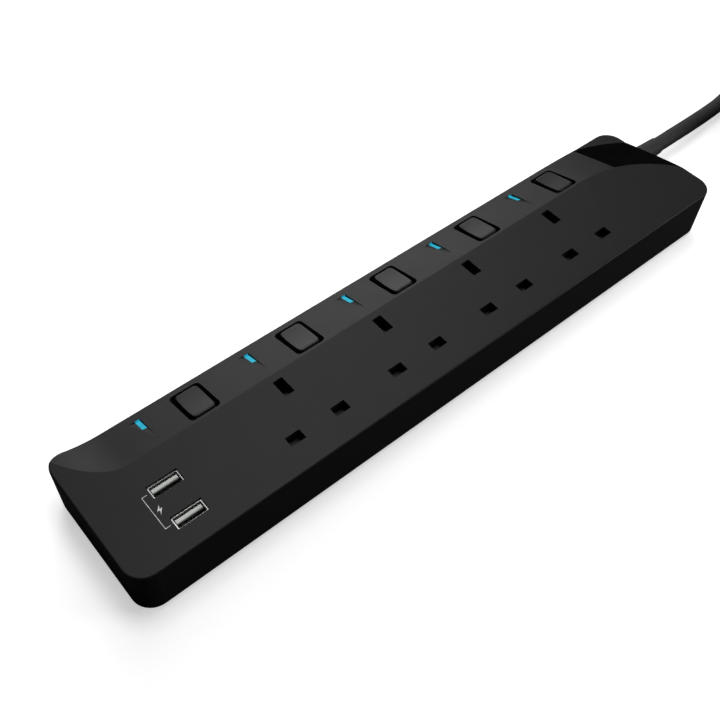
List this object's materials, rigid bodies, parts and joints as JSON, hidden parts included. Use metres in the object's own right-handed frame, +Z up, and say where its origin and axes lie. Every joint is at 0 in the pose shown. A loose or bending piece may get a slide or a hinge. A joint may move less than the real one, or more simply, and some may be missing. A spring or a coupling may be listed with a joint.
{
  "type": "power strip",
  "caption": "Mains extension lead: a row of three-pin sockets, each with a lit rocker switch, and upright USB ports in a black casing.",
  "frame": {"origin": "Middle of the underside of the casing, on the surface that it rests on.", "axes": "+X runs along the casing to the end where the lead leaves it, +Y points to the row of switches, +Z is up out of the sockets."},
  "size_m": [0.545, 0.1098, 0.0701],
  "materials": {
    "casing_black": "fine-grained satin black moulded plastic",
    "window_gloss": "polished black",
    "screw_steel": "zinc-plated steel",
    "rocker_black": "satin black, slightly smoother than the casing",
    "brass": "stamped brass strip",
    "inner_black": "plain black moulding of the hidden parts",
    "light_blue": "clear light guide that shows cyan-blue",
    "board_green": "solder-masked board",
    "port_steel": "bright nickel-plated sheet",
    "tongue_white": "off-white thermoplastic",
    "ferrite_grey": "dark ferrite with yellow tape",
    "can_aluminium": "drawn can",
    "spring_steel": "spring strip",
    "cord_black": "satin black PVC sheath",
    "core_brown": "brown insulation",
    "core_blue": "blue insulation",
    "core_green": "green and yellow insulation",
    "tie_black": "flexible black strap",
    "plug_black": "satin black moulding",
    "fuse_ceramic": "glazed ceramic tube"
  },
  "bodies": {
    "casing": {"base_cover": "casing_black", "coil_tie": "tie_black", "cord_clamp": "casing_black", "cord_coil": "cord_black", "cord_tail": "cord_black", "cord_tube": "cord_black", "earth_busbar": "brass", "led_board": "board_green", "led_guide_1": "light_blue", "led_guide_2": "light_blue", "led_guide_3": "light_blue", "led_guide_4": "light_blue", "led_guide_5": "light_blue", "live_busbar": "brass", "live_contact_1": "brass", "live_contact_2": "brass", "live_contact_3": "brass", "live_contact_4": "brass", "neutral_busbar": "brass", "plug_body": "plug_black", "plug_fuse": "fuse_ceramic", "plug_fuse_carrier": "plug_black", "plug_pins": "brass", "screws": "screw_steel", "shutter_spring_1": "spring_steel", "shutter_spring_2": "spring_steel", "shutter_spring_3": "spring_steel", "shutter_spring_4": "spring_steel", "status_window": "window_gloss", "strain_relief": "cord_black", "switch_housing_1": "inner_black", "switch_housing_2": "inner_black", "switch_housing_3": "inner_black", "switch_housing_4": "inner_black", "switch_housing_5": "inner_black", "top_cover": "casing_black", "usb_board": "board_green", "usb_capacitor": "can_aluminium", "usb_shell_1": "port_steel", "usb_shell_2": "port_steel", "usb_tongue_1": "tongue_white", "usb_tongue_2": "tongue_white", "usb_transformer": "ferrite_grey", "wire_earth": "core_green", "wire_live": "core_brown", "wire_neutral": "core_blue"},
    "rocker_1": {"rocker_1": "rocker_black", "contact_bridge_1": "brass"},
    "rocker_2": {"rocker_2": "rocker_black", "contact_bridge_2": "brass"},
    "rocker_3": {"rocker_3": "rocker_black", "contact_bridge_3": "brass"},
    "rocker_4": {"rocker_4": "rocker_black", "contact_bridge_4": "brass"},
    "rocker_5": {"rocker_5": "rocker_black", "contact_bridge_5": "brass"},
    "shutter_1": {"shutter_1": "inner_black"},
    "shutter_2": {"shutter_2": "inner_black"},
    "shutter_3": {"shutter_3": "inner_black"},
    "shutter_4": {"shutter_4": "inner_black"}
  },
  "joints": [
    {"name": "rocker_1_rock", "type": "hinge", "parent": "casing", "child": "rocker_1", "pos_m": [-0.1028, 0.01945, 0.01942], "axis": [1, 0, 0], "range_deg": [-6, 0]},
    {"name": "rocker_2_rock", "type": "hinge", "parent": "casing", "child": "rocker_2", "pos_m": [-0.0504, 0.01945, 0.01942], "axis": [1, 0, 0], "range_deg": [-6, 0]},
    {"name": "rocker_3_rock", "type": "hinge", "parent": "casing", "child": "rocker_3", "pos_m": [0.002, 0.01945, 0.01942], "axis": [1, 0, 0], "range_deg": [-6, 0]},
    {"name": "rocker_4_rock", "type": "hinge", "parent": "casing", "child": "rocker_4", "pos_m": [0.0544, 0.01945, 0.01942], "axis": [1, 0, 0], "range_deg": [-6, 0]},
    {"name": "rocker_5_rock", "type": "hinge", "parent": "casing", "child": "rocker_5", "pos_m": [0.1068, 0.01945, 0.01942], "axis": [1, 0, 0], "range_deg": [-6, 0]},
    {"name": "shutter_1_slide", "type": "slide", "parent": "casing", "child": "shutter_1", "axis": [0, -1, 0], "range_m": [0, 0.0057], "stiffness_N_per_m": 150, "springref_m": -0.003, "deforming": ["shutter_spring_1"]},
    {"name": "shutter_2_slide", "type": "slide", "parent": "casing", "child": "shutter_2", "axis": [0, -1, 0], "range_m": [0, 0.0057], "stiffness_N_per_m": 150, "springref_m": -0.003, "deforming": ["shutter_spring_2"]},
    {"name": "shutter_3_slide", "type": "slide", "parent": "casing", "child": "shutter_3", "axis": [0, -1, 0], "range_m": [0, 0.0057], "stiffness_N_per_m": 150, "springref_m": -0.003, "deforming": ["shutter_spring_3"]},
    {"name": "shutter_4_slide", "type": "slide", "parent": "casing", "child": "shutter_4", "axis": [0, -1, 0], "range_m": [0, 0.0057], "stiffness_N_per_m": 150, "springref_m": -0.003, "deforming": ["shutter_spring_4"]}
  ]
}
